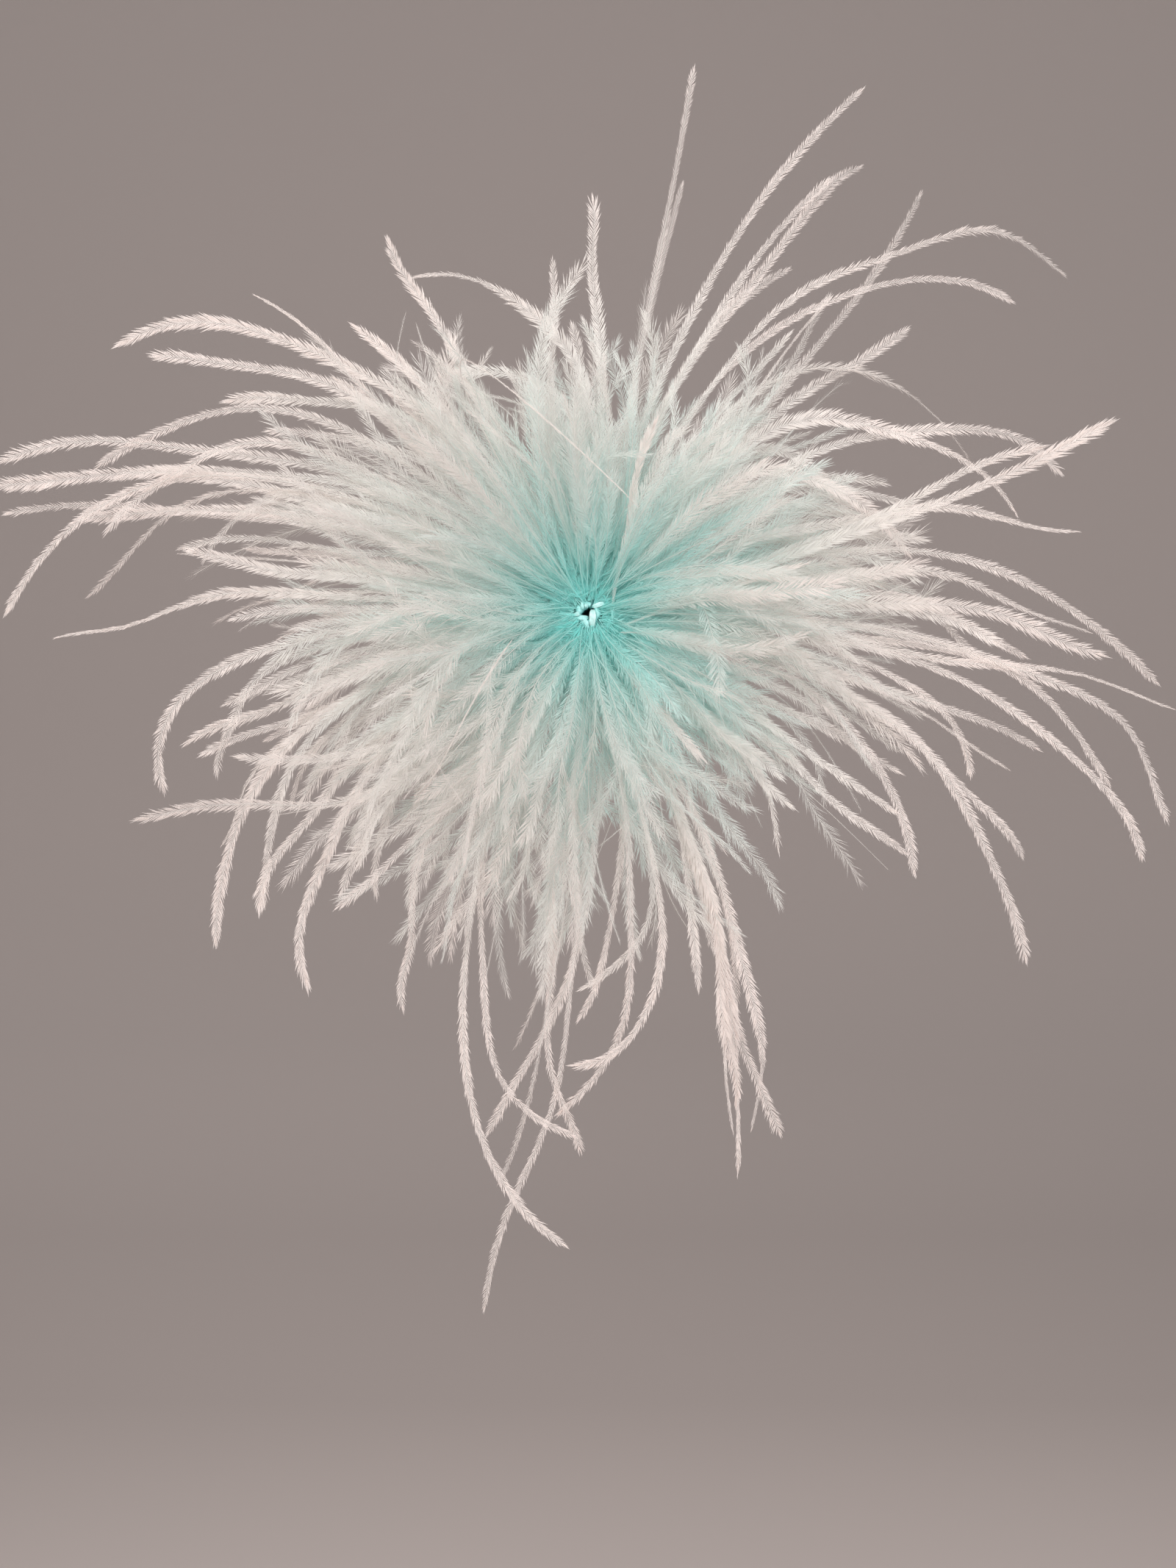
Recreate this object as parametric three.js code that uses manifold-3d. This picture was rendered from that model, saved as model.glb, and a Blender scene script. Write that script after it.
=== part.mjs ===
// Feather fascinator: eight tufts of pale mint ostrich barbs round a small knot, on a felt base with
// a clip.
// Millimetres, +Z up. The burst faces -Y. It pins on at the origin, and its back lies in the plane Y = 0.
// A forward distance is measured from that plane towards -Y. A bearing is seen from the front: 0 is right
// and 90 is up.
import * as THREE from 'three';
import { ParametricGeometry } from 'three/addons/geometries/ParametricGeometry.js';
import { mergeVertices } from 'three/addons/utils/BufferGeometryUtils.js';
import Module from 'manifold-3d';

const wasm = await Module();
wasm.setup();

// Hair clip: one flat strip folded back on itself, its slot open towards +X
const CLIP_LENGTH = 46;
const CLIP_WIDTH = 9;
const CLIP_STRIP = 0.9;
const CLIP_SLOT = 2.4;
const CLIP_DEPTH = 2 * CLIP_STRIP + CLIP_SLOT;

// Felt base
const SEAT_GAP = 0.3;
const BASE_RADIUS = 23;
const BASE_THICKNESS = 2;
const BASE_SIDES = 40;
const BASE_BACK = CLIP_DEPTH + SEAT_GAP;
const BASE_FRONT = BASE_BACK + BASE_THICKNESS;

// Bound root of each tuft: a wedge of a ring that is sewn to the front of the base
const ROOT_INNER = 4.5;
const ROOT_OUTER = 13;
const ROOT_DEPTH = 7.5;
const ROOT_BEVEL = 0.9;
const ROOT_SIDE_GAP = 0.5;
const ROOT_BACK = BASE_FRONT + SEAT_GAP;
const ROOT_FRONT = ROOT_BACK + ROOT_DEPTH;

// Knot: a short sleeve round the dark eye, with folded quill tabs over its front rim
const EYE_RADIUS = 1.3;
const KNOT_RADIUS = 4;
const KNOT_SIDES = 20;
const KNOT_RIM = ROOT_FRONT + 0.2;
const KNOT_ROUND = 0.8;

// Locks leave the root from this circle, and their bearings close up there by this share
const LOCK_START_RADIUS = 8;
const LOCK_START_FORWARD = ROOT_BACK + 0.5 * ROOT_DEPTH;
const LOCK_START_SHARE = 0.7;
const LOCK_STACKS = 6;
const LOCK_SLICES = 4;
const LOCK_THICKNESS = 2.6;
const STRAND_THICKNESS = 1.8;
const STRAND_LIFT = 12;

const FEATHER_COLOR = '#cfdcd6';
const QUILL_COLOR = '#d3ebe6';
const FELT_COLOR = '#b9cfc8';
const STEEL_COLOR = '#a9adb0';

// Tufts, a row each: bearing of the middle, reach of the full locks and how far their tips sag
const TUFTS = [
  { name: 'tuft_right', bearing: 0, reach: 98, sag: 14 },
  { name: 'tuft_upper_right', bearing: 45, reach: 94, sag: 10 },
  { name: 'tuft_top', bearing: 90, reach: 84, sag: 4 },
  { name: 'tuft_upper_left', bearing: 135, reach: 104, sag: 10 },
  { name: 'tuft_left', bearing: 180, reach: 90, sag: 16 },
  { name: 'tuft_lower_left', bearing: 225, reach: 92, sag: 10 },
  { name: 'tuft_bottom', bearing: 270, reach: 98, sag: 4 },
  { name: 'tuft_lower_right', bearing: 315, reach: 68, sag: 8 },
];
const TUFT_ANGLE = 360 / TUFTS.length;

// Tiers of full locks in each tuft: lift towards the front, length and width as shares of the reach, and
// bearing offsets from the middle of the tuft
const TIERS = [
  { lift: 0, length: 1.0, width: 0.18, offsets: [-14, 0, 14] },
  { lift: 19, length: 0.92, width: 0.15, offsets: [-14, 0, 14] },
  { lift: 36, length: 0.86, width: 0.14, offsets: [-11, 11] },
];
// A full lock widens like a fan up to this share of its length, then closes in a blunt tip
const FAN_SHARE = 0.7;
// It keeps its bearing up to this share of its length, and gains these shares of its lift by there and by
// the tip
const BEND_SHARE = 0.55;
const BEND_LIFT = 0.62;
const TIP_LIFT = 0.9;

// Long strands that make the outline, a row each: bearing at which it leaves the knot, how far it keeps
// that bearing, its tip to the right and up from the knot, the tip's forward distance and its width
const STRAND_COLUMNS = ['leave', 'out', 'tipX', 'tipZ', 'forward', 'width'];
const STRAND_ROWS = [
  [348, 100, 120, -70, 8, 4], [16, 95, 142, -7, 2, 5], [330, 55, 85, -56, 18, 4],
  [200, 60, -107, -40, 14, 4], [195, 95, -104, -66, 8, 4], [301, 105, 47, -146, 10, 5],
  [349, 115, 119, -97, 16, 5], [352, 70, 117, -44, 22, 5], [350, 70, 129, -38, 2, 4],
  [358, 130, 154, -70, 10, 4], [2, 135, 164, -56, 14, 4], [355, 80, 164, -25, 20, 4],
  [8, 85, 142, -11, 24, 7], [20, 115, 163, -19, -6, 4], [16, 75, 140, 48, 44, 5],
  [28, 80, 138, 24, 10, 5], [54, 110, 119, 23, 20, 7], [42, 110, 136, 41, 0, 5],
  [62, 125, 108, 39, 6, 6], [50, 75, 90, 79, 12, 5], [66, 140, 140, 100, -4, 4],
  [46, 80, 97, 123, -10, 4], [55, 50, 70, 91, 4, 4],
  [72, 95, 81, 129, -4, 5], [76, 95, 77, 149, 8, 4], [80, 75, 30, 153, 10, 3],
  [84, 80, -1, 113, 20, 5], [103, 60, -9, 99, 12, 4], [82, 95, -49, 88, 36, 6],
  [117, 75, -57, 107, 6, 5], [132, 60, -96, 93, -6, 5], [124, 55, -65, 81, 14, 5],
  [122, 110, -130, 75, 12, 6], [128, 95, -120, 69, 20, 5], [135, 120, -136, 39, 16, 4],
  [143, 95, -164, 43, 14, 5], [150, 90, -165, 36, 22, 6], [156, 80, -164, 29, 8, 4],
  [148, 130, -164, 2, 12, 4], [142, 125, -130, 20, 24, 4],
  [168, 60, -119, 20, -4, 4], [172, 60, -112, 16, 16, 5], [170, 95, -149, -10, 14, 5],
  [176, 50, -99, -2, 22, 4], [180, 125, -118, -49, 16, 5], [188, 60, -101, -24, 20, 4],
  [190, 70, -113, -38, 4, 5], [192, 112, -103, -94, 10, 5],
  [205, 85, -91, -82, 14, 5], [207, 92, -79, -104, 10, 5], [212, 72, -68, -79, 18, 5],
  [218, 60, -65, -70, 24, 4], [228, 90, -49, -110, 12, 4], [244, 55, -70, -80, 26, 4],
  [244, 140, -5, -171, 30, 4], [246, 62, -121, -56, 44, 5],
  [259, 100, -4, -151, 14, 4], [271, 120, -30, -194, 6, 3], [275, 95, -28, -146, 8, 4],
  [286, 100, -6, -141, 18, 4], [290, 125, -4, -124, 24, 4],
  [298, 100, 42, -157, 14, 6], [294, 95, 51, -147, 6, 5], [300, 85, 39, -145, 22, 5],
  [318, 35, 53, -47, 30, 6], [322, 40, 57, -55, 20, 5], [335, 50, 88, -44, 14, 5],
  [326, 60, 89, -69, 8, 4],
];
const named = (row) => Object.fromEntries(STRAND_COLUMNS.map((column, i) => [column, row[i]]));
const STRANDS = STRAND_ROWS.map(named);

// Folded quill tabs of the knot, a row each: bearing, where it starts and ends along it, and its width
const TABS = [
  { bearing: 292, from: 1.6, to: 7.0, width: 2.4 },
  { bearing: 238, from: 1.8, to: 5.6, width: 2.2 },
  { bearing: 182, from: 1.8, to: 5.4, width: 2.4 },
  { bearing: 118, from: 1.8, to: 5.2, width: 2.2 },
  { bearing: 28, from: 1.8, to: 6.6, width: 2.0 },
];
const TAB_RISE = 2.2;
const TAB_SINK = 0.4;
const TAB_THICKNESS = 0.8;
const TAB_STACKS = 6;

const FORWARD = new THREE.Vector3(0, -1, 0);
const radians = THREE.MathUtils.degToRad;

// A point at a radius and bearing round the knot, and a forward distance
function place(radius, bearing, forward) {
  const angle = radians(bearing);
  return new THREE.Vector3(radius * Math.cos(angle), -forward, radius * Math.sin(angle));
}

// Closed body from a geometry: seams and poles joined, faces that have no area dropped
function solid(geometry) {
  const bare = geometry.index ? geometry.toNonIndexed() : geometry.clone();
  bare.deleteAttribute('normal');
  bare.deleteAttribute('uv');
  const joined = mergeVertices(bare, 1e-4);
  const index = joined.index.array;
  const kept = [];
  for (let i = 0; i < index.length; i += 3) {
    const [a, b, c] = [index[i], index[i + 1], index[i + 2]];
    if (a !== b && b !== c && c !== a) {
      kept.push(a, b, c);
    }
  }
  const body = new wasm.Mesh({
    numProp: 3,
    vertProperties: new Float32Array(joined.attributes.position.array),
    triVerts: new Uint32Array(kept),
  });
  return new wasm.Manifold(body);
}

// Several bodies fused into one geometry
function fused(bodies) {
  const whole = bodies.slice(1).reduce((sum, body) => sum.add(body), bodies[0]);
  const shell = whole.getMesh();
  const geometry = new THREE.BufferGeometry();
  geometry.setAttribute('position', new THREE.BufferAttribute(new Float32Array(shell.vertProperties), 3));
  geometry.setIndex(new THREE.BufferAttribute(new Uint32Array(shell.triVerts), 1));
  geometry.computeVertexNormals();
  return geometry;
}

// Width along a full lock: a fan with a blunt tip
function fanSwell(along) {
  const past = Math.max(0, along - FAN_SHARE) / (1 - FAN_SHARE);
  return Math.min(1, along / FAN_SHARE) * Math.sqrt(Math.max(0, 1 - past * past));
}

// Width along a strand: narrow at the root, fullest past the middle, drawn to a point
function strandSwell(along) {
  return Math.pow(Math.max(0, Math.sin(Math.PI * Math.pow(along, 1.3))), 0.8);
}

// Width along a tab: a leaf with a point at each end
function tabSwell(along) {
  return Math.pow(Math.max(0, Math.sin(Math.PI * along)), 0.7);
}

// A strip of lozenge section that follows a curve, its flat side turned to the front
function strip(curve, width, thickness, swell, stacks) {
  const across = new THREE.Vector3();
  const outward = new THREE.Vector3();
  const surface = (u, v, target) => {
    const turn = -2 * Math.PI * u;
    const tangent = curve.getTangent(v);
    across.crossVectors(tangent, FORWARD).normalize();
    outward.crossVectors(across, tangent);
    target.copy(curve.getPoint(v));
    target.addScaledVector(across, 0.5 * width * swell(v) * Math.cos(turn));
    target.addScaledVector(outward, 0.5 * thickness * Math.pow(swell(v), 0.6) * Math.sin(turn));
  };
  return solid(new ParametricGeometry(surface, LOCK_SLICES, stacks));
}

// Start of a lock inside its tuft's root
function lockStart(tuft, bearing) {
  const offset = THREE.MathUtils.euclideanModulo(bearing - tuft.bearing + 180, 360) - 180;
  return place(LOCK_START_RADIUS, tuft.bearing + offset * LOCK_START_SHARE, LOCK_START_FORWARD);
}

// Full lock: leaves along its bearing and lift, then its tip sags
function fullLock(tuft, tier, offset) {
  const bearing = tuft.bearing + offset;
  const length = tuft.reach * tier.length;
  const flat = length * Math.cos(radians(tier.lift));
  const rise = length * Math.sin(radians(tier.lift));
  const bend = place(BEND_SHARE * flat, bearing, LOCK_START_FORWARD + BEND_LIFT * rise);
  const tip = place(flat, bearing, LOCK_START_FORWARD + TIP_LIFT * rise);
  tip.z -= tuft.sag;
  const curve = new THREE.QuadraticBezierCurve3(lockStart(tuft, bearing), bend, tip);
  return strip(curve, tuft.reach * tier.width, LOCK_THICKNESS, fanSwell, LOCK_STACKS);
}

// Long strand: leaves along its own bearing and bends over to its tip
function longStrand(tuft, strand) {
  const lift = strand.out * Math.sin(radians(STRAND_LIFT));
  const bend = place(strand.out, strand.leave, LOCK_START_FORWARD + lift);
  const tip = new THREE.Vector3(strand.tipX, -strand.forward, strand.tipZ);
  const curve = new THREE.QuadraticBezierCurve3(lockStart(tuft, strand.leave), bend, tip);
  return strip(curve, strand.width, STRAND_THICKNESS, strandSwell, LOCK_STACKS);
}

// Bound root: a wedge of a ring with rounded edges
function boundRoot(tuft) {
  const half = 0.5 * radians(TUFT_ANGLE);
  const inner = ROOT_INNER + ROOT_BEVEL;
  const outer = ROOT_OUTER - ROOT_BEVEL;
  const innerHalf = half - (ROOT_BEVEL + 0.5 * ROOT_SIDE_GAP) / inner;
  const outerHalf = half - (ROOT_BEVEL + 0.5 * ROOT_SIDE_GAP) / outer;
  const outline = new THREE.Shape();
  outline.absarc(0, 0, outer, -outerHalf, outerHalf, false);
  outline.absarc(0, 0, inner, innerHalf, -innerHalf, true);
  outline.closePath();
  const wedge = new THREE.ExtrudeGeometry(outline, {
    depth: ROOT_DEPTH - 2 * ROOT_BEVEL,
    bevelThickness: ROOT_BEVEL,
    bevelSize: ROOT_BEVEL,
    bevelSegments: 2,
    curveSegments: 5,
  });
  wedge.rotateZ(radians(tuft.bearing));
  wedge.rotateX(Math.PI / 2);
  wedge.translate(0, -(ROOT_BACK + ROOT_BEVEL), 0);
  return solid(wedge);
}

function belongsTo(tuft, strand) {
  const offset = THREE.MathUtils.euclideanModulo(strand.leave - tuft.bearing + 180, 360) - 180;
  return offset >= -0.5 * TUFT_ANGLE && offset < 0.5 * TUFT_ANGLE;
}

function tuftGeometry(tuft) {
  const locks = TIERS.flatMap((tier) => tier.offsets.map((offset) => fullLock(tuft, tier, offset)));
  const strands = STRANDS.filter((strand) => belongsTo(tuft, strand));
  return fused([boundRoot(tuft), ...locks, ...strands.map((strand) => longStrand(tuft, strand))]);
}

// Folded tab: rises from the rim and folds back outward
function foldedTab(tab) {
  const start = place(tab.from, tab.bearing, KNOT_RIM - TAB_SINK);
  const fold = place(0.5 * (tab.from + tab.to), tab.bearing, KNOT_RIM + TAB_RISE);
  const end = place(tab.to, tab.bearing, KNOT_RIM + SEAT_GAP + TAB_THICKNESS);
  const curve = new THREE.QuadraticBezierCurve3(start, fold, end);
  return strip(curve, tab.width, TAB_THICKNESS, tabSwell, TAB_STACKS);
}

function knotGeometry() {
  const profile = [
    new THREE.Vector2(EYE_RADIUS, -ROOT_BACK),
    new THREE.Vector2(EYE_RADIUS, -(KNOT_RIM - KNOT_ROUND)),
    new THREE.Vector2(EYE_RADIUS + KNOT_ROUND, -KNOT_RIM),
    new THREE.Vector2(KNOT_RADIUS - KNOT_ROUND, -KNOT_RIM),
    new THREE.Vector2(KNOT_RADIUS, -(KNOT_RIM - KNOT_ROUND)),
    new THREE.Vector2(KNOT_RADIUS, -ROOT_BACK),
    new THREE.Vector2(EYE_RADIUS, -ROOT_BACK),
  ];
  const sleeve = solid(new THREE.LatheGeometry(profile, KNOT_SIDES));
  return fused([sleeve, ...TABS.map(foldedTab)]);
}

function baseGeometry() {
  const disc = new THREE.CylinderGeometry(BASE_RADIUS, BASE_RADIUS, BASE_THICKNESS, BASE_SIDES);
  disc.translate(0, -(BASE_BACK + 0.5 * BASE_THICKNESS), 0);
  return disc;
}

function clipGeometry() {
  const bend = 0.5 * CLIP_DEPTH;
  const left = bend - 0.5 * CLIP_LENGTH;
  const right = 0.5 * CLIP_LENGTH;
  const section = new THREE.Shape();
  section.moveTo(right, 0);
  section.lineTo(left, 0);
  section.absarc(left, -bend, bend, 0.5 * Math.PI, 1.5 * Math.PI, false);
  section.lineTo(right, -CLIP_DEPTH);
  section.lineTo(right, CLIP_STRIP - CLIP_DEPTH);
  section.lineTo(left, CLIP_STRIP - CLIP_DEPTH);
  section.absarc(left, -bend, bend - CLIP_STRIP, 1.5 * Math.PI, 0.5 * Math.PI, true);
  section.lineTo(right, -CLIP_STRIP);
  section.closePath();
  const folded = new THREE.ExtrudeGeometry(section, {
    depth: CLIP_WIDTH,
    bevelEnabled: false,
    curveSegments: 8,
  });
  folded.translate(0, 0, -0.5 * CLIP_WIDTH);
  return folded;
}

const group = new THREE.Group();
group.name = 'feather_fascinator';

function addPiece(name, geometry, color, roughness, metalness) {
  const material = new THREE.MeshStandardMaterial({ color, roughness, metalness });
  const piece = new THREE.Mesh(geometry, material);
  piece.name = name;
  group.add(piece);
}

for (const tuft of TUFTS) {
  addPiece(tuft.name, tuftGeometry(tuft), FEATHER_COLOR, 0.85, 0);
}
addPiece('centre_knot', knotGeometry(), QUILL_COLOR, 0.6, 0);
addPiece('felt_base', baseGeometry(), FELT_COLOR, 0.95, 0);
addPiece('hair_clip', clipGeometry(), STEEL_COLOR, 0.35, 1);

export default group;
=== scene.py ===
# %% [markdown]
# A feather fascinator: a loose burst of pale mint ostrich barbs round a small folded knot.
# The imported solids fix the size and place of every piece, so they are loaded first and never moved.
# The finished burst has to stay inside it but for a little fluff.

# %% Load the frame
import math

import bpy
import numpy as np
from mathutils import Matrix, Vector


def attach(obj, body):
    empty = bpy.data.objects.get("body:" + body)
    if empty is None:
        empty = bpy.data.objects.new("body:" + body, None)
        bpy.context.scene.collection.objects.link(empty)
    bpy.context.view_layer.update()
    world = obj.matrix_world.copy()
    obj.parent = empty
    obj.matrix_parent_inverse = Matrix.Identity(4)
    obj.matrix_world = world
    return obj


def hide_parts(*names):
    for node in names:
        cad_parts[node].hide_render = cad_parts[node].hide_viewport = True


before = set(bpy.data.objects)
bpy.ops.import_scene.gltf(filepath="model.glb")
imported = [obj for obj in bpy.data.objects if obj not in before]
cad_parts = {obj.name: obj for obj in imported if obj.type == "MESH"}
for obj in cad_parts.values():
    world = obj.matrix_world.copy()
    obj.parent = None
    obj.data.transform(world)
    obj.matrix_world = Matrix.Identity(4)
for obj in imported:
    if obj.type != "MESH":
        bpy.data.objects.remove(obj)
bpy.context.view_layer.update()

# %% [markdown]
# The burst faces -Y, and all sizes below are millimetres, turned to metres where points are made. A
# bearing is seen from the front, 0 to the right and 90 up. A forward distance runs from the back towards
# -Y. The eight tufts, their fans of barbs and the long strands repeat the values that the solids were
# made from.

# %% Sizes of the burst
MM = 0.001
SEED = 41
START_RADIUS = 8
START_FORWARD = 10.55
START_SHARE = 0.7
STRAND_LIFT = 12
TIP_LIFT = 0.9
TUFT_ANGLE = 45

TUFTS = [
    {"name": "tuft_right", "bearing": 0, "reach": 98, "sag": 14, "dye": 0.62},
    {"name": "tuft_upper_right", "bearing": 45, "reach": 94, "sag": 10, "dye": 0.72},
    {"name": "tuft_top", "bearing": 90, "reach": 84, "sag": 4, "dye": 0.45},
    {"name": "tuft_upper_left", "bearing": 135, "reach": 104, "sag": 10, "dye": 0.5},
    {"name": "tuft_left", "bearing": 180, "reach": 90, "sag": 16, "dye": 0.45},
    {"name": "tuft_lower_left", "bearing": 225, "reach": 92, "sag": 10, "dye": 0.35},
    {"name": "tuft_bottom", "bearing": 270, "reach": 98, "sag": 4, "dye": 0.85},
    {"name": "tuft_lower_right", "bearing": 315, "reach": 68, "sag": 8, "dye": 0.85},
]
FANS = [
    {"lift": 0, "length": 1.0, "offsets": [-14, 0, 14], "groups": 5},
    {"lift": 19, "length": 0.92, "offsets": [-14, 0, 14], "groups": 3},
    {"lift": 36, "length": 0.86, "offsets": [-11, 11], "groups": 2},
]
# leave: bearing at the knot, out: how far it is kept, x and z: the tip, forward: the tip's, width of the strand
STRANDS = np.array([
    (348, 100, 120, -70, 8, 4), (16, 95, 142, -7, 2, 5), (330, 55, 85, -56, 18, 4),
    (200, 60, -107, -40, 14, 4), (195, 95, -104, -66, 8, 4), (301, 105, 47, -146, 10, 5),
    (349, 115, 119, -97, 16, 5), (352, 70, 117, -44, 22, 5), (350, 70, 129, -38, 2, 4),
    (358, 130, 154, -70, 10, 4), (2, 135, 164, -56, 14, 4), (355, 80, 164, -25, 20, 4),
    (8, 85, 142, -11, 24, 7), (20, 115, 163, -19, -6, 4), (16, 75, 140, 48, 44, 5),
    (28, 80, 138, 24, 10, 5), (54, 110, 119, 23, 20, 7), (42, 110, 136, 41, 0, 5),
    (62, 125, 108, 39, 6, 6), (50, 75, 90, 79, 12, 5), (66, 140, 140, 100, -4, 4),
    (46, 80, 97, 123, -10, 4), (55, 50, 70, 91, 4, 4),
    (72, 95, 81, 129, -4, 5), (76, 95, 77, 149, 8, 4), (80, 75, 30, 153, 10, 3),
    (84, 80, -1, 113, 20, 5), (103, 60, -9, 99, 12, 4), (82, 95, -49, 88, 36, 6),
    (117, 75, -57, 107, 6, 5), (132, 60, -96, 93, -6, 5), (124, 55, -65, 81, 14, 5),
    (122, 110, -130, 75, 12, 6), (128, 95, -120, 69, 20, 5), (135, 120, -136, 39, 16, 4),
    (143, 95, -164, 43, 14, 5), (150, 90, -165, 36, 22, 6), (156, 80, -164, 29, 8, 4),
    (148, 130, -164, 2, 12, 4), (142, 125, -130, 20, 24, 4),
    (168, 60, -119, 20, -4, 4), (172, 60, -112, 16, 16, 5), (170, 95, -149, -10, 14, 5),
    (176, 50, -99, -2, 22, 4), (180, 125, -118, -49, 16, 5), (188, 60, -101, -24, 20, 4),
    (190, 70, -113, -38, 4, 5), (192, 112, -103, -94, 10, 5),
    (205, 85, -91, -82, 14, 5), (207, 92, -79, -104, 10, 5), (212, 72, -68, -79, 18, 5),
    (218, 60, -65, -70, 24, 4), (228, 90, -49, -110, 12, 4), (244, 55, -70, -80, 26, 4),
    (244, 140, -5, -171, 30, 4), (246, 62, -121, -56, 44, 5),
    (259, 100, -4, -151, 14, 4), (271, 120, -30, -194, 6, 3), (275, 95, -28, -146, 8, 4),
    (286, 100, -6, -141, 18, 4), (290, 125, -4, -124, 24, 4),
    (298, 100, 42, -157, 14, 6), (294, 95, 51, -147, 6, 5), (300, 85, 39, -145, 22, 5),
    (318, 35, 53, -47, 30, 6), (322, 40, 57, -55, 20, 5), (335, 50, 88, -44, 14, 5),
    (326, 60, 89, -69, 8, 4),
], dtype=[(c, float) for c in ("leave", "out", "x", "z", "forward", "width")])
print("tufts", len(TUFTS), "long strands", len(STRANDS))

# %% [markdown]
# A barb is one hair-thin shaft with soft barbules on both sides. It is first only a line of points.
# Each line leaves the knot along its bearing and lift, then bends over to its tip, with a slight wave.
# It could be drawn by hand as a curve, but there are over sixteen hundred, so functions place them.
# The points also carry what the next step needs: the vane's side, barbule length and sweep, girth and tint.
# Near the tip the barbules close round the shaft, because an ostrich barb ends blunt and not in a point.

# %% One barb as a line of points
ALONG = np.concatenate([np.linspace(0, 0.9, 16), [0.93, 0.96, 0.98, 1]])
POINTS = len(ALONG)
FACING = np.array([0.0, -1.0, 0.0])
TINT_LENGTH = 200
REACH_LIMIT = 0.98
TIP_CUT = 0.6
CLOSING_SHARE = 0.9
TIP_SWEEP = 0.25
CORD_VANE = 0.5
CORD_FADE = 0.12
VANE_GAPS = 0.16
KINK_SPAN = 0.1
FRONT_LIMIT = 61
BACK_LIMIT = 10
VANE_SWELL = np.interp(ALONG, [0, 0.1, 0.25, 0.45, 1], [0.3, 0.42, 0.65, 1, 1])
SHAFT_TAPER = np.interp(ALONG, [0, 0.5, 1], [1, 0.7, 0.4])


def place(radius, bearing, forward):
    """Point at a radius and bearing round the knot, in millimetres."""
    angle = math.radians(bearing)
    return np.array([radius * math.cos(angle), -forward, radius * math.sin(angle)])


def bezier(guides, share):
    """Points of the Bezier curve of three or four guide points, up to a share of it."""
    t = (share * ALONG)[:, None]
    layers = [guide[None] + 0 * t for guide in guides]
    while len(layers) > 1:
        layers = [(1 - t) * one + t * two for one, two in zip(layers, layers[1:])]
    return layers[0]


def run_length(path):
    return np.concatenate([[0], np.linalg.norm(np.diff(path, axis=0), axis=1).cumsum()])


def kinked(path, share, angle):
    """The path with a bend in the picture plane, spread over a tenth of its length."""
    turn = math.radians(angle) * np.clip((ALONG[1:] - share) / KINK_SPAN, 0, 1)
    steps = np.diff(path, axis=0)
    turned = np.stack([
        steps[:, 0] * np.cos(turn) - steps[:, 2] * np.sin(turn),
        steps[:, 1],
        steps[:, 0] * np.sin(turn) + steps[:, 2] * np.cos(turn),
    ], axis=1)
    return np.concatenate([path[:1], path[:1] + turned.cumsum(axis=0)])


def barb(guides, vane, sweep, tint, rng, twist=0.4, kink=0, cord_from=1.0, stray=1.0, thick=1.0, faded=0.0):
    """One barb along its guide points, with its kink, wave, twist and vane.

    cord_from: share of the length where the vane narrows to a cord. stray: how untidy its barbules are.
    thick: how wide they are against the plain blade. faded: how far along the root-to-tip colour the root
    already starts, so the barb shows less of the painted bounce light near its root.
    """
    length = run_length(bezier(guides, 1))[-1]
    path = bezier(guides, 1 - TIP_CUT * vane / length)
    path = kinked(path, rng.uniform(0.45, 0.8), kink)
    tangent = np.gradient(path, axis=0)
    tangent /= np.linalg.norm(tangent, axis=1)[:, None]
    side = np.cross(tangent, FACING)
    side /= np.linalg.norm(side, axis=1)[:, None]
    over = np.cross(tangent, side)
    wave = rng.uniform(0.006, 0.022) * length * ALONG ** 1.5
    turn = 2 * np.pi * (rng.uniform(0.8, 2.4) * ALONG + rng.uniform(0, 1))
    path = path + side * (wave * np.sin(turn))[:, None] + over * (wave * np.cos(turn))[:, None]
    path[:, 1] = np.clip(path[:, 1], -FRONT_LIMIT, BACK_LIMIT)
    roll = rng.normal(0, twist) + rng.normal(0, twist) * ALONG
    gaps = 1 + VANE_GAPS * np.sin(2 * np.pi * (rng.uniform(1.5, 4) * ALONG + rng.uniform(0, 1)))
    side = side * np.cos(roll)[:, None] + over * np.sin(roll)[:, None]
    left = (1 - ALONG) * length
    closing = np.interp(left, [0, CLOSING_SHARE * vane], [TIP_SWEEP, 1])
    cord = np.interp(ALONG, [cord_from, cord_from + CORD_FADE], [1, CORD_VANE])
    return {
        "path": path * MM,
        "side": side,
        "vane": vane * VANE_SWELL * gaps * cord * MM,
        "sweep": np.radians(sweep * closing * (0.4 + 0.6 * cord)),
        "girth": rng.uniform(0.12, 0.19) * SHAFT_TAPER * MM,
        "tint": np.full(POINTS, np.clip(tint, 0, 1)),
        "stray": np.full(POINTS, stray),
        "thick": np.full(POINTS, thick),
        "reach": np.minimum(faded + run_length(path) / TINT_LENGTH, REACH_LIMIT),
    }


print("points on a barb", POINTS)

# %% [markdown]
# Barbs of a real tuft hang together in loose fans. So each filling barb follows one of the solids' fans,
# a little to one side of it, and the long strands that give the burst its outline follow their own rows.
# The filling barbs have thinner, untidier barbules, which make the soft haze.
# A few paler barbs lie over the front.
# Every number that varies comes from one seeded generator, so the burst is the same in every run.

# %% The barbs of a tuft
BARBS_PER_GROUP = 3
DOWN_PER_TUFT = 44
FORWARD_LIMIT = 60
KINKED_SHARE = 0.3
CORD_SHARE = 0.25
HAZE_STRAY = 1.7
HAZE_THICK = (0.3, 0.65)
FRONT_FADED = 0.11
STEEPEST_LIFT = FANS[-1]["lift"]
COLLAR_PER_TUFT = 64
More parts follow.
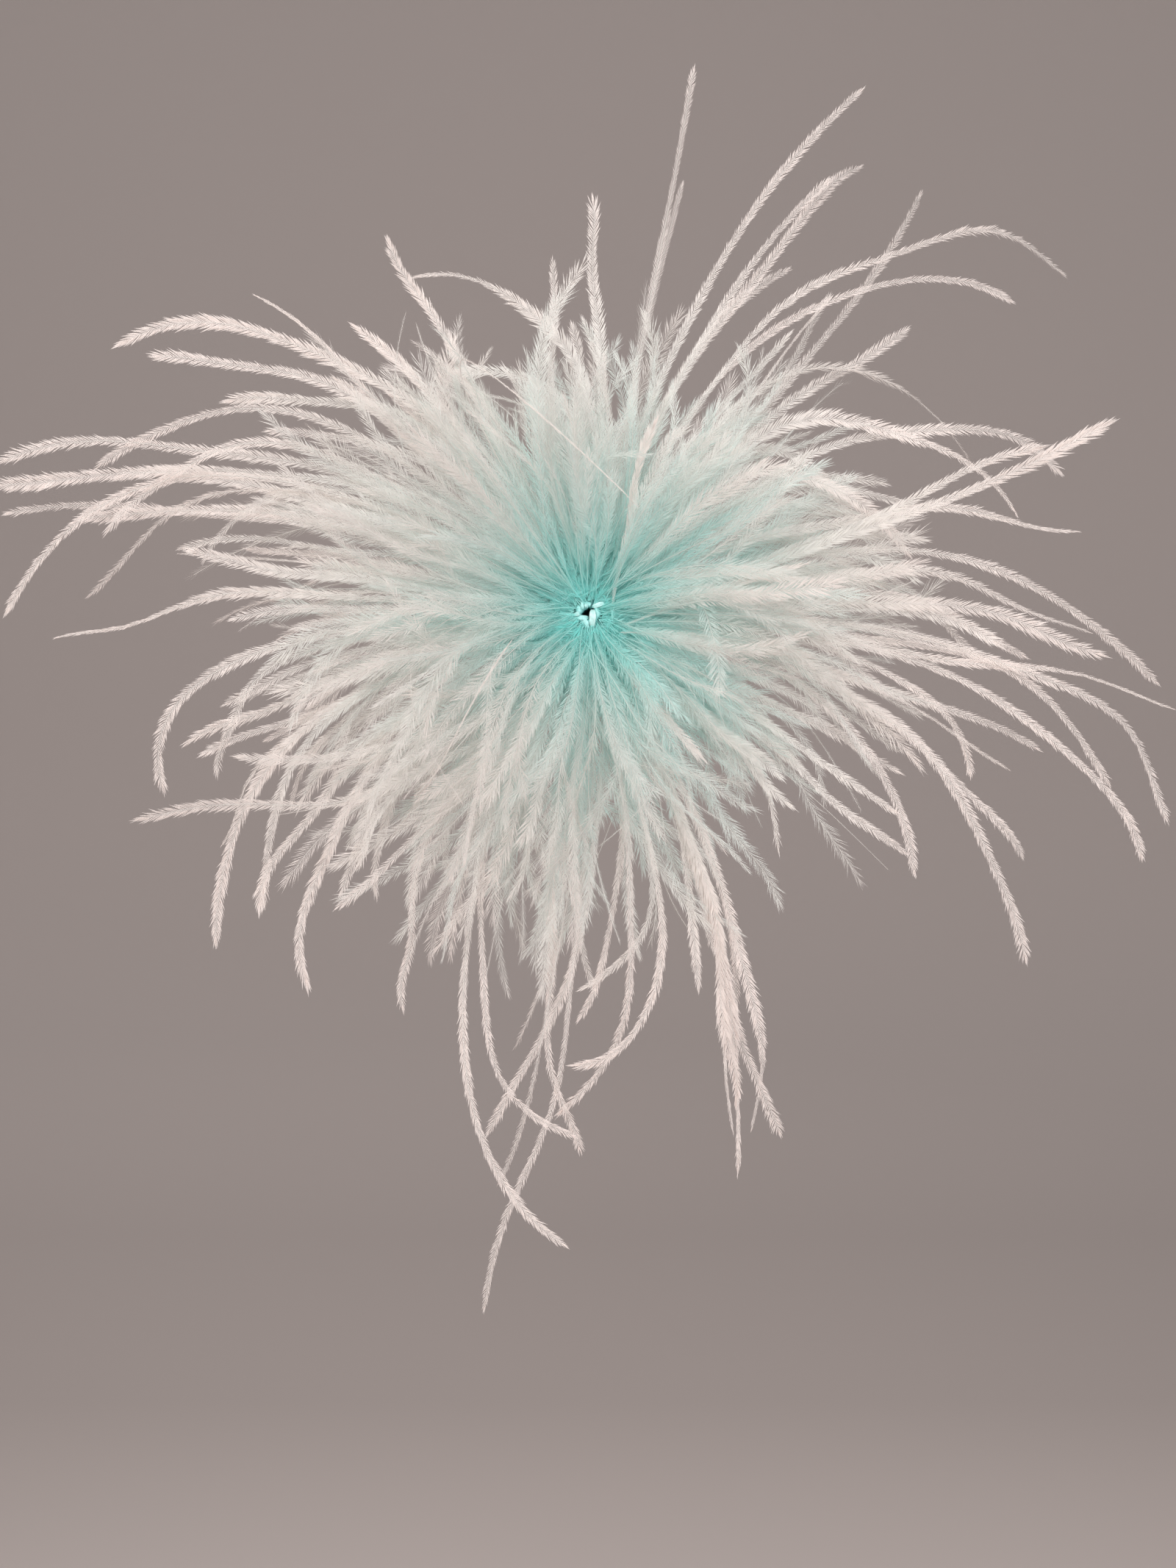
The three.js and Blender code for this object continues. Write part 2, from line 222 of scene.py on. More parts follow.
# barbs that lie over the front of the burst, with points from the root to the tip: x, forward, z
FRONT_BARBS = [
    {"tuft": "tuft_upper_left", "vane": 1.5, "sweep": 18,
     "guides": [(-4, 13, 7), (-52, 44, 84), (-40, 66, 78), (12, 60, 22)]},
    {"tuft": "tuft_lower_left", "vane": 1.5, "sweep": 18,
     "guides": [(-6, 12, -6), (-62, 34, -62), (-52, 62, -66), (-18, 57, -11)]},
    {"tuft": "tuft_top", "vane": 4.4, "sweep": 26,
     "guides": [(6.5, 15, 1), (9, 23, 14), (12, 31, 30), (18, 38, 52)]},
    {"tuft": "tuft_right", "vane": 4.0, "sweep": 34,
     "guides": [(11, 17, 9), (20, 26, 10), (34, 32, 11), (58, 36, 8)]},
    {"tuft": "tuft_right", "vane": 3.6, "sweep": 30,
     "guides": [(10, 17, -3.5), (20, 24, 0), (33, 29, 5), (60, 34, 12)]},
    {"tuft": "tuft_right", "vane": 4.0, "sweep": 32,
     "guides": [(9, 17, -5.5), (20, 24, -6), (33, 28, -7.5), (62, 32, -14)]},
    {"tuft": "tuft_lower_right", "vane": 4.0, "sweep": 30,
     "guides": [(7.5, 16, -8), (11, 24, -17), (16, 29, -25), (32, 33, -42)]},
    {"tuft": "tuft_upper_right", "vane": 4.0, "sweep": 32,
     "guides": [(11, 16, 12), (18, 24, 19), (28, 30, 27), (50, 35, 40)]},
]


def off_bearing(tuft, bearing):
    return (bearing - tuft["bearing"] + 180) % 360 - 180


def root_point(tuft, bearing, lift, rng):
    """Where a barb starts: near the knot's front if it lifts, near the base if it lies flat."""
    front = min(max(lift / 32, 0), 1)
    radius = START_RADIUS - 2.2 * front + rng.uniform(-2.4, 5.0)
    forward = START_FORWARD - 1.2 + 4.6 * front + rng.uniform(-1.0, 1.0)
    stray = rng.normal(0, 16)
    return place(radius, tuft["bearing"] + START_SHARE * off_bearing(tuft, bearing) + stray, forward)


def vane_of(rng):
    """Barbule length and sweep: most barbs are full, some are narrow cords, a few are nearly bare."""
    kind = rng.uniform()
    if kind < 0.58:
        return rng.uniform(3.6, 5.6), rng.uniform(24, 38)
    if kind < 0.88:
        return rng.uniform(2.4, 3.6), rng.uniform(18, 26)
    return rng.uniform(1.1, 1.7), rng.uniform(16, 22)


def filling_barb(tuft, aim, lift, length, turns, rng):
    flat = length * math.cos(math.radians(lift))
    rise = length * math.sin(math.radians(lift))
    tip_forward = START_FORWARD + TIP_LIFT * rise + rng.normal(0, 3)
    droop = tuft["sag"] * (length / tuft["reach"]) ** 2 * rng.uniform(0.5, 1.6)
    guides = [
        root_point(tuft, aim, lift, rng),
        place(0.36 * flat, aim + rng.normal(0, 7), START_FORWARD + 0.42 * rise),
        place(0.72 * flat, aim + turns[0], START_FORWARD + 0.8 * rise),
        place(flat, aim + turns[1], min(tip_forward, FORWARD_LIMIT)) - np.array([0, 0, droop]),
    ]
    vane, sweep = vane_of(rng)
    tint = tuft["dye"] - 0.3 * lift / STEEPEST_LIFT + rng.normal(0, 0.3)
    kink = rng.normal(0, 24) if rng.uniform() < KINKED_SHARE else 0
    return barb(guides, vane, sweep, tint, rng, kink=kink, stray=HAZE_STRAY, thick=rng.uniform(*HAZE_THICK))


def fan_barbs(tuft, fan, offset, rng):
    """Groups of barbs that run together, round one fan of the solid."""
    made = []
    for _ in range(fan["groups"]):
        aim = tuft["bearing"] + offset + rng.normal(0, 6)
        lift = fan["lift"] + rng.normal(0, 6)
        length = tuft["reach"] * fan["length"] * rng.uniform(0.88, 1.13)
        turns = rng.normal(0, 6) * np.array([1.0, 1.6]) + np.array([0, rng.normal(0, 9)])
        for _ in range(BARBS_PER_GROUP):
            made.append(filling_barb(
                tuft, aim + rng.normal(0, 2.6), lift + rng.normal(0, 3),
                length * rng.uniform(0.74, 1.04), turns + rng.normal(0, 4, 2), rng))
    return made


def strand_barbs(tuft, row, rng):
    """A long strand and a shorter companion beside it."""
    start = root_point(tuft, row["leave"], STRAND_LIFT, rng)
    lift = row["out"] * math.sin(math.radians(STRAND_LIFT))
    bend = place(row["out"], row["leave"], START_FORWARD + lift)
    tip = np.array([row["x"], -row["forward"], row["z"]])
    sweep = rng.uniform(30, 42)
    vane = 0.45 * row["width"] / math.sin(math.radians(sweep))
    cord_from = rng.uniform(0.5, 0.8) if rng.uniform() < CORD_SHARE else 1.0
    made = [barb([start, bend, tip], vane, sweep, rng.uniform(0, 0.35), rng, 0.25, cord_from=cord_from)]
    nearer = rng.uniform(0.66, 0.9)
    beside = rng.normal(0, 3, 3)
    made.append(barb([start, nearer * bend + beside, nearer * tip + beside], 0.85 * vane, sweep,
                     rng.uniform(0, 0.6), rng, 0.3))
    return made


def down_barb(tuft, rng):
    """Short fluff round the root, which fills the gaps beside the knot."""
    aim = tuft["bearing"] + rng.uniform(-24, 24)
    lift = rng.uniform(-4, 28)
    length = rng.uniform(9, 32)
    flat = length * math.cos(math.radians(lift))
    rise = length * math.sin(math.radians(lift))
    start = place(rng.uniform(4.0, 6.8), aim, rng.uniform(11.5, 14.8))
    bend = start + place(0.5 * flat, aim, 0.6 * rise)
    tip = start + place(flat, aim + rng.normal(0, 18), 0.8 * rise)
    return barb([start, bend, tip], rng.uniform(1.8, 3.0), rng.uniform(30, 50), rng.uniform(0.4, 1), rng, 0.8)


def collar_barb(tuft, rng):
    """Very short down that lies round the knot and hides where the roots are bound."""
    aim = tuft["bearing"] + rng.uniform(-25, 25)
    start = place(rng.uniform(2.6, 7.5), aim, rng.uniform(13.2, 14.9))
    length = rng.uniform(5, 18)
    bend = start + place(0.5 * length, aim + rng.normal(0, 22), rng.uniform(-0.5, 2.2))
    tip = start + place(length, aim + rng.normal(0, 40), rng.uniform(-1.5, 2.6))
    return barb([start, bend, tip], rng.uniform(2.0, 3.4), rng.uniform(28, 52), rng.uniform(0.2, 1), rng, 1.1)


def front_barb(row, rng):
    """A paler barb that lies over the front of the burst."""
    guides = [np.array(point, float) * (1, -1, 1) for point in row["guides"]]
    return barb(guides, row["vane"], row["sweep"], 0.05, rng, 0.2, faded=FRONT_FADED)


def tuft_barbs(tuft, rng):
    made = []
    for fan in FANS:
        for offset in fan["offsets"]:
            made += fan_barbs(tuft, fan, offset, rng)
    for row in STRANDS:
        if -0.5 * TUFT_ANGLE <= off_bearing(tuft, row["leave"]) < 0.5 * TUFT_ANGLE:
            made += strand_barbs(tuft, row, rng)
    made += [front_barb(row, rng) for row in FRONT_BARBS if row["tuft"] == tuft["name"]]
    made += [down_barb(tuft, rng) for _ in range(DOWN_PER_TUFT)]
    made += [collar_barb(tuft, rng) for _ in range(COLLAR_PER_TUFT)]
    return made


def barb_lines(name, barbs):
    """All barbs of a tuft as one mesh of loose edges that carries their attributes."""
    count = len(barbs)
    index = np.arange(count * POINTS).reshape(count, POINTS)
    edges = np.stack([index[:, :-1].ravel(), index[:, 1:].ravel()], axis=1)
    mesh = bpy.data.meshes.new(name)
    mesh.from_pydata(np.concatenate([b["path"] for b in barbs]).tolist(), edges.tolist(), [])
    for key in ("vane", "sweep", "girth", "tint", "stray", "thick", "reach"):
        values = np.concatenate([b[key] for b in barbs])
        mesh.attributes.new(key, "FLOAT", "POINT").data.foreach_set("value", values)
    sides = np.concatenate([b["side"] for b in barbs])
    mesh.attributes.new("side", "FLOAT_VECTOR", "POINT").data.foreach_set("vector", sides.ravel())
    lines = bpy.data.objects.new(name, mesh)
    bpy.context.scene.collection.objects.link(lines)
    return lines


fan_count = BARBS_PER_GROUP * sum(f["groups"] * len(f["offsets"]) for f in FANS)
print("barbs in a tuft, without its strands", fan_count + DOWN_PER_TUFT + COLLAR_PER_TUFT)

# %% [markdown]
# A barbule is a soft hair a few millimetres long. There are hundreds on each barb, so one has only two
# faces: a slim blade that bends forward. It is one unit long, and the tree scales it to each place on the
# shaft.

# %% The barbule blade
BLADE_WIDTH = 0.028
BLADE_BEND = 0.16


def barbule_blade():
    points = [
        (0.0, -0.5 * BLADE_WIDTH, 0.0),
        (0.0, 0.5 * BLADE_WIDTH, 0.0),
        (0.55, 0.35 * BLADE_WIDTH - 0.2 * BLADE_BEND, 0.0),
        (1.0, -BLADE_BEND, 0.0),
    ]
    mesh = bpy.data.meshes.new("barbule_blade")
    mesh.from_pydata(points, [], [(0, 2, 1), (0, 3, 2)])
    mesh.attributes.new("leaf", "FLOAT", "POINT").data.foreach_set("value", [p[0] for p in points])
    mesh.attributes.new("fin", "FLOAT", "POINT").data.foreach_set("value", [0.0, 1.0, 0.8, 0.3])
    blade = bpy.data.objects.new("barbule_blade", mesh)
    bpy.context.scene.collection.objects.link(blade)
    return blade


blade = barbule_blade()
print("faces on a blade", len(blade.data.polygons))

# %% [markdown]
# The feather finish is keratin dyed a pale mint, nearly white and a little warm at the tips. The deeper,
# more saturated mint towards the root is painted bounce light, standing in for light passed between the
# crowded barbs round the knot. Light passes through the keratin, so a translucent part is mixed with the
# surface. Its colour follows the barb, so it reads the piece's own map: across is the distance from the root,
# up is how strongly that barb took the dye.

# %% Feather finish
SHAFT_BAND = 0.9


def new_material(name):
    material = bpy.data.materials.new(name)
    material.use_nodes = True
    nodes = material.node_tree.nodes
    return material, nodes, material.node_tree.links, nodes["Principled BSDF"], nodes["Material Output"]


def ramp(nodes, stops):
    node = nodes.new("ShaderNodeValToRGB")
    band = node.color_ramp
    while len(band.elements) < len(stops):
        band.elements.new(0.5)
    for element, (position, colour) in zip(band.elements, stops):
        element.position = position
        element.color = (*colour, 1.0)
    return node


def blend_colours(nodes, links, factor, one, two, mode="MIX"):
    node = nodes.new("ShaderNodeMix")
    node.data_type = "RGBA"
    node.blend_type = mode
    for socket, value in ((node.inputs[0], factor), (node.inputs[6], one), (node.inputs[7], two)):
        if isinstance(value, bpy.types.NodeSocket):
            links.new(value, socket)
        else:
            socket.default_value = value
    return node.outputs[2]


def feather_finish():
    material, nodes, links, surface, output = new_material("feather_finish")
    spot = nodes.new("ShaderNodeUVMap")
    spot.uv_map = "OFBake"
    parts = nodes.new("ShaderNodeSeparateXYZ")
    links.new(spot.outputs["UV"], parts.inputs[0])
    # Along each barb the saturated mint near the root is painted bounce light; further out it is the pale dye.
    light_barb = ramp(nodes, [
        (0.0, (0.46, 0.94, 0.91)), (0.05, (0.67, 0.93, 0.90)), (0.12, (0.82, 0.89, 0.86)),
        (0.22, (0.89, 0.85, 0.82)), (0.45, (0.91, 0.83, 0.795)),
    ])
    mint_barb = ramp(nodes, [
        (0.0, (0.31, 0.92, 0.89)), (0.07, (0.53, 0.92, 0.89)), (0.17, (0.65, 0.88, 0.85)),
        (0.30, (0.77, 0.85, 0.82)), (0.60, (0.88, 0.82, 0.785)),
    ])
    links.new(parts.outputs["X"], light_barb.inputs["Fac"])
    links.new(parts.outputs["X"], mint_barb.inputs["Fac"])
    dye_and_bounce_light = blend_colours(
        nodes, links, parts.outputs["Y"], light_barb.outputs["Color"], mint_barb.outputs["Color"])
    streak = nodes.new("ShaderNodeTexNoise")
    streak.inputs["Scale"].default_value = 70
    streak.inputs["Detail"].default_value = 2
    links.new(spot.outputs["UV"], streak.inputs["Vector"])
    shade = nodes.new("ShaderNodeMapRange")
    shade.inputs["From Min"].default_value = 0.3
    shade.inputs["From Max"].default_value = 0.7
    shade.inputs["To Min"].default_value = 0.86
    shade.inputs["To Max"].default_value = 1.06
    links.new(streak.outputs["Fac"], shade.inputs["Value"])
    streaked = blend_colours(nodes, links, 1.0, dye_and_bounce_light, shade.outputs["Result"], "MULTIPLY")
    is_shaft = nodes.new("ShaderNodeMath")
    is_shaft.operation = "GREATER_THAN"
    is_shaft.inputs[1].default_value = SHAFT_BAND
    links.new(parts.outputs["Y"], is_shaft.inputs[0])
    bared = nodes.new("ShaderNodeMapRange")
    bared.inputs["From Max"].default_value = 0.25
    bared.inputs["To Min"].default_value = 0.1
    bared.inputs["To Max"].default_value = 0.7
    links.new(parts.outputs["X"], bared.inputs["Value"])
    paler = blend_colours(
        nodes, links, bared.outputs["Result"], light_barb.outputs["Color"], (0.95, 0.95, 0.92, 1))
    colour = blend_colours(nodes, links, is_shaft.outputs[0], streaked, paler)
    links.new(colour, surface.inputs["Base Color"])
    rough = nodes.new("ShaderNodeMapRange")
    rough.inputs["To Min"].default_value = 0.5
    rough.inputs["To Max"].default_value = 0.75
    links.new(streak.outputs["Fac"], rough.inputs["Value"])
    links.new(rough.outputs["Result"], surface.inputs["Roughness"])
    surface.inputs["Specular IOR Level"].default_value = 0.35
    surface.inputs["Sheen Weight"].default_value = 0.25
    through = nodes.new("ShaderNodeBsdfTranslucent")
    links.new(colour, through.inputs["Color"])
    both = nodes.new("ShaderNodeMixShader")
    both.inputs["Fac"].default_value = 0.5
    links.new(surface.outputs["BSDF"], both.inputs[1])
    links.new(through.outputs["BSDF"], both.inputs[2])
    links.new(both.outputs["Shader"], output.inputs["Surface"])
    return material


feather = feather_finish()
print("finish", feather.name)

# %% [markdown]
# The tree turns barb lines into feathers. It sets points a step apart along each shaft, puts a blade on
# both sides there, turned by the sweep and a little chance, and sweeps a thin three-sided shaft along the
# same lines. It also writes the map that the finish reads, before the blades become one plain mesh.

# %% The barb tree
def barb_tree():
    tree = bpy.data.node_groups.new("barb_tree", "GeometryNodeTree")
    face = tree.interface
    face.new_socket("Lines", in_out="INPUT", socket_type="NodeSocketGeometry")
    face.new_socket("Blade", in_out="INPUT", socket_type="NodeSocketObject")
    face.new_socket("Step", in_out="INPUT", socket_type="NodeSocketFloat").default_value = 0.8 * MM
    face.new_socket("Shaft step", in_out="INPUT", socket_type="NodeSocketFloat").default_value = 4 * MM
    face.new_socket("Flare", in_out="INPUT", socket_type="NodeSocketFloat").default_value = 0.35
    face.new_socket("Seed", in_out="INPUT", socket_type="NodeSocketInt")
    face.new_socket("Finish", in_out="INPUT", socket_type="NodeSocketMaterial")
    face.new_socket("Feathers", in_out="OUTPUT", socket_type="NodeSocketGeometry")
    nodes, links = tree.nodes, tree.links
    given = nodes.new("NodeGroupInput")
    result = nodes.new("NodeGroupOutput")

    def node(kind, inputs=(), **settings):
        made = nodes.new(kind)
        for key, value in settings.items():
            setattr(made, key, value)
        for key, value in dict(inputs).items():
            if isinstance(value, bpy.types.NodeSocket):
                links.new(value, made.inputs[key])
            else:
                made.inputs[key].default_value = value
        return made

    def named(name, kind="FLOAT"):
        return node("GeometryNodeInputNamedAttribute", {"Name": name}, data_type=kind).outputs["Attribute"]

    def number(operation, one, two=0.0):
        return node("ShaderNodeMath", {0: one, 1: two}, operation=operation).outputs[0]

    def vector(operation, one, two):
        return node("ShaderNodeVectorMath", {0: one, 1: two}, operation=operation).outputs[0]

    def scaled(one, size):
        return node("ShaderNodeVectorMath", {0: one, "Scale": size}, operation="SCALE").outputs[0]

    def chance(low, high, salt):
        seed = node("FunctionNodeIntegerMath", {0: given.outputs["Seed"], 1: salt}, operation="ADD").outputs[0]
        return node("FunctionNodeRandomValue", {2: low, 3: high, "Seed": seed}).outputs[1]

    lines = node("GeometryNodeMeshToCurve", {"Mesh": given.outputs["Lines"]}).outputs["Curve"]
    stations = node(
        "GeometryNodeResampleCurve", {"Curve": lines, "Length": given.outputs["Step"]}, mode="LENGTH")
    tangent = node("GeometryNodeInputTangent").outputs[0]
    side = named("side", "FLOAT_VECTOR")
    normal = vector("CROSS_PRODUCT", tangent, side)
    form = node("GeometryNodeObjectInfo", {"Object": given.outputs["Blade"]}).outputs["Geometry"]
    turn_in_pair = number("MODULO", node("GeometryNodeInputIndex").outputs[0], 2.0)
    gather = number("MULTIPLY", number("SUBTRACT", turn_in_pair, 0.5), 0.08)
    blades = []
    for hand, salt in ((1.0, 10), (-1.0, 20)):
        wander = number("MULTIPLY", chance(-0.08, 0.08, salt), named("stray"))
        sweep = number("ADD", number("ADD", named("sweep"), gather), wander)
        forth = scaled(tangent, number("COSINE", sweep))
        out = scaled(side, number("MULTIPLY", number("SINE", sweep), hand))
        flare = number("MULTIPLY", named("stray"), given.outputs["Flare"])
        lift = number("MULTIPLY", chance(-1.0, 1.0, salt + 1), flare)
        aim = vector("ADD", vector("ADD", forth, out), scaled(normal, lift))
        turn = node("FunctionNodeAxesToRotation", {0: aim, 1: scaled(normal, hand)},
                    primary_axis="X", secondary_axis="Z").outputs[0]
        size = number("MULTIPLY", named("vane"), chance(0.74, 1.1, salt + 2))
        thin = number("MULTIPLY", size, named("thick"))
        stretch = node("ShaderNodeCombineXYZ", {0: size, 1: thin, 2: size}).outputs[0]
        blades.append(node("GeometryNodeInstanceOnPoints", {
            "Points": stations.outputs[0], "Instance": form, "Rotation": turn, "Scale": stretch,
        }).outputs[0])
    joined = node("GeometryNodeJoinGeometry")
    for each in blades:
        links.new(each, joined.inputs[0])
    fluff = node("GeometryNodeRealizeInstances", {"Geometry": joined.outputs[0]}).outputs[0]
    along = number("ADD", named("reach"), number("MULTIPLY", named("leaf"), 0.012))
    dye = number("ADD", number("MULTIPLY", named("tint"), 0.84),
                 number("MULTIPLY", named("fin"), 0.02))
    fluff_map = node("ShaderNodeCombineXYZ", {0: along, 1: dye}).outputs[0]
    fluff = node("GeometryNodeStoreNamedAttribute", {"Geometry": fluff, "Name": "OFBake", "Value": fluff_map},
                 data_type="FLOAT2", domain="CORNER").outputs[0]
    ring = node("GeometryNodeCurvePrimitiveCircle", {"Resolution": 3, "Radius": 1.0}).outputs["Curve"]
    place_on_ring = number("MULTIPLY", node("GeometryNodeInputIndex").outputs[0], 0.33)
    ring = node("GeometryNodeStoreNamedAttribute", {"Geometry": ring, "Name": "fin", "Value": place_on_ring},
                data_type="FLOAT", domain="POINT").outputs[0]
    shaft_points = node(
        "GeometryNodeResampleCurve", {"Curve": lines, "Length": given.outputs["Shaft step"]}, mode="LENGTH")
    shafts = node("GeometryNodeCurveToMesh", {
        "Curve": shaft_points.outputs[0], "Profile Curve": ring, "Scale": named("girth"), "Fill Caps": True,
    }).outputs[0]
    shaft_dye = number("ADD", number("MULTIPLY", named("fin"), 0.06), 0.92)
    shaft_map = node("ShaderNodeCombineXYZ", {0: named("reach"), 1: shaft_dye}).outputs[0]
    shafts = node("GeometryNodeStoreNamedAttribute", {"Geometry": shafts, "Name": "OFBake", "Value": shaft_map},
                  data_type="FLOAT2", domain="CORNER").outputs[0]
    whole = node("GeometryNodeJoinGeometry")
    links.new(fluff, whole.inputs[0])
    links.new(shafts, whole.inputs[0])
    plain = node("GeometryNodeRealizeInstances", {"Geometry": whole.outputs[0]}).outputs[0]
    finished = node(
        "GeometryNodeSetMaterial", {"Geometry": plain, "Material": given.outputs["Finish"]}).outputs[0]
    links.new(finished, result.inputs[0])
    return tree


tree = barb_tree()
print("nodes in the barb tree", len(tree.nodes))

# %% [markdown]
# Each tuft's lines go through the tree once. The result is copied to a plain mesh, the helper is removed,
# and the piece takes the place of its solid.

# %% Make the eight tufts
BARBULE_STEP = 0.44
SHAFT_STEP = 4.0
BARBULE_FLARE = 0.22
SEEDS_PER_TUFT = 100
LINE_VALUES = ("side", "vane", "sweep", "girth", "tint", "stray", "thick", "reach", "leaf", "fin")


def socket_of(tree, name):
    return next(s.identifier for s in tree.interface.items_tree if s.name == name and s.in_out == "INPUT")


def plain_mesh(helper, name):
    """The evaluated helper as a plain object, without the helper."""
    graph = bpy.context.evaluated_depsgraph_get()
    mesh = bpy.data.meshes.new_from_object(helper.evaluated_get(graph), depsgraph=graph)
    mesh.name = name
    piece = bpy.data.objects.new(name, mesh)
    bpy.context.scene.collection.objects.link(piece)
    bpy.data.objects.remove(helper)
    return piece


def feathered(tuft, number):
    rng = np.random.default_rng(SEED + number)
    lines = barb_lines("lines_" + tuft["name"], tuft_barbs(tuft, rng))
    grow = lines.modifiers.new("grow", "NODES")
    grow.node_group = tree
    grow[socket_of(tree, "Blade")] = blade
    grow[socket_of(tree, "Step")] = BARBULE_STEP * MM
    grow[socket_of(tree, "Shaft step")] = SHAFT_STEP * MM
    grow[socket_of(tree, "Flare")] = BARBULE_FLARE
    grow[socket_of(tree, "Seed")] = SEEDS_PER_TUFT * number
    grow[socket_of(tree, "Finish")] = feather
    piece = plain_mesh(lines, "feathers_" + tuft["name"])
    for name in LINE_VALUES:
        if name in piece.data.attributes:
            piece.data.attributes.remove(piece.data.attributes[name])
    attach(piece, "root")
    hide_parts(tuft["name"])
    return piece


total = 0
for number, tuft in enumerate(TUFTS):
    piece = feathered(tuft, number)
    faces = sum(len(p.vertices) - 2 for p in piece.data.polygons)
    total += faces
    print(piece.name, faces)
bpy.data.objects.remove(blade)
print("triangles in the burst", total)

# %% [markdown]
# The knot is where the quill ends are folded over and bound: a short crumpled sleeve round an eye, with
# eight small leaf-shaped folds over its rim. It is turned and folded in code, because each fold has its own
# size. A value on every point says how pale it is, from the bottom of the eye, painted near-black as shade,
# to the edges of the folds.

# %% The knot
KNOT_SIDES = 48
KNOT_PROFILE = [
    # radius, forward, paleness; the lowest values, inside the eye, are painted shade
    (3.4, 7.0, 0.30), (3.8, 8.5, 0.35), (3.9, 11.0, 0.42), (3.7, 13.2, 0.50),
    (3.3, 14.2, 0.54), (2.7, 14.6, 0.58), (2.1, 14.5, 0.52), (1.65, 14.0, 0.36),
    (1.4, 13.0, 0.14), (1.3, 11.0, 0.03), (1.1, 8.6, 0.0), (0.4, 8.0, 0.0),
]
# from x and z to x and z, width, rise over the rim, depth of the crease, paleness
TAB_COLUMNS = ("x", "z", "end_x", "end_z", "width", "rise", "fold", "pale")
TABS = [
    dict(zip(TAB_COLUMNS, row)) for row in (
        (1.3, 1.1, 1.2, -4.7, 1.9, 1.7, 0.30, 0.84), (-1.2, -1.1, 0.5, -4.9, 1.2, 1.1, 0.45, 0.62),
        (0.2, -1.2, -5.0, -1.2, 1.3, 1.0, 0.40, 0.60), (-2.0, 0.0, -4.5, -0.5, 1.2, 1.5, 0.55, 0.70),
        (-1.4, 0.9, -1.8, 4.2, 0.9, 1.2, 0.50, 0.62), (-0.4, 1.3, -0.6, 3.5, 1.0, 1.3, 0.50, 0.66),
        (1.2, 1.8, 6.0, 3.3, 1.3, 1.1, 0.35, 0.74), (0.6, 1.2, 1.9, 4.6, 0.6, 0.5, 0.60, 0.10),
    )
]
TAB_RIM = 14.3
TAB_SKIN = 0.26


def grid_faces(rows, columns, first, around=False, flip=False):
    """Quads of a grid of points that is numbered row by row."""
    faces = []
    for i in range(rows - 1):
        for j in range(columns if around else columns - 1):
            a, b = first + i * columns + j, first + i * columns + (j + 1) % columns
            quad = (a, b, b + columns, a + columns)
            faces.append(quad[::-1] if flip else quad)
    return faces


def sleeve():
    """Crumpled sleeve round the eye, closed at its back and at the bottom of the eye."""
    points, pale = [], []
    for step, (radius, forward, paleness_and_shade) in enumerate(KNOT_PROFILE):
        for k in range(KNOT_SIDES):
            bearing = 360 * k / KNOT_SIDES
            wave = 0.06 * math.sin(math.radians(7 * bearing + 30 * step))
            wave += 0.05 * math.sin(math.radians(3 * bearing))
            stretch = 1 + 0.22 * math.cos(math.radians(2 * (bearing - 40))) if step > 6 else 1
            points.append(place(radius * (1 + wave) * stretch, bearing, forward + 0.3 * wave))
            pale.append(paleness_and_shade)
    faces = grid_faces(len(KNOT_PROFILE), KNOT_SIDES, 0, around=True)
    last = (len(KNOT_PROFILE) - 1) * KNOT_SIDES
    faces.append(tuple(range(KNOT_SIDES))[::-1])
    faces.append(tuple(range(last, last + KNOT_SIDES)))
    return points, faces, pale


def leaf_tab(tab, first):
    """One folded quill end: a leaf with a crease along its middle, closed all round."""
    stations, across = 15, 9
    start = np.array([tab["x"], 0, tab["z"]])
    run = np.array([tab["end_x"], 0, tab["end_z"]]) - start
    aside = np.cross(FACING, run) / np.linalg.norm(run)
    points, pale = [], []
    for skin in (0.0, -TAB_SKIN):
        for u in np.linspace(0, 1, stations):
            half = 0.5 * tab["width"] * np.interp(u, [0, 0.12, 0.4, 0.8, 1], [0.5, 0.85, 1, 0.62, 0.08])
            middle = TAB_RIM + tab["rise"] * math.sin(math.pi * u ** 0.7) - 0.8 * u ** 2
            for v in np.linspace(-1, 1, across):
                crease = -tab["fold"] * half * abs(v) ** 1.4 + 0.25 * half * max(v, 0) ** 3
                points.append(start + u * run + half * v * aside + FACING * (middle + crease + skin))
                pale.append(min(1, tab["pale"] + 0.16 * abs(v) ** 2 + 0.04 * u))
    size = stations * across
    faces = grid_faces(stations, across, first, flip=True) + grid_faces(stations, across, first + size)
    rim = [i * across for i in range(stations)] + [(stations - 1) * across + j for j in range(1, across)]
    rim += [i * across + across - 1 for i in range(stations - 2, -1, -1)] + list(range(across - 2, 0, -1))
    for a, b in zip(rim, rim[1:] + rim[:1]):
        faces.append((first + b, first + a, first + size + a, first + size + b))
    return points, faces, pale


def folded_knot():
    points, faces, pale = sleeve()
    for tab in TABS:
        more = leaf_tab(tab, len(points))
        points, faces, pale = points + more[0], faces + more[1], pale + more[2]
    mesh = bpy.data.meshes.new("folded_knot")
    mesh.from_pydata((np.array(points) * MM).tolist(), [], faces)
    mesh.attributes.new("pale", "FLOAT", "POINT").data.foreach_set("value", pale)
    mesh.polygons.foreach_set("use_smooth", [True] * len(mesh.polygons))
    knot = bpy.data.objects.new("folded_knot", mesh)
    bpy.context.scene.collection.objects.link(knot)
    return knot


knot = folded_knot()
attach(knot, "root")
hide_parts("centre_knot")
print("faces on the knot", len(knot.data.polygons))
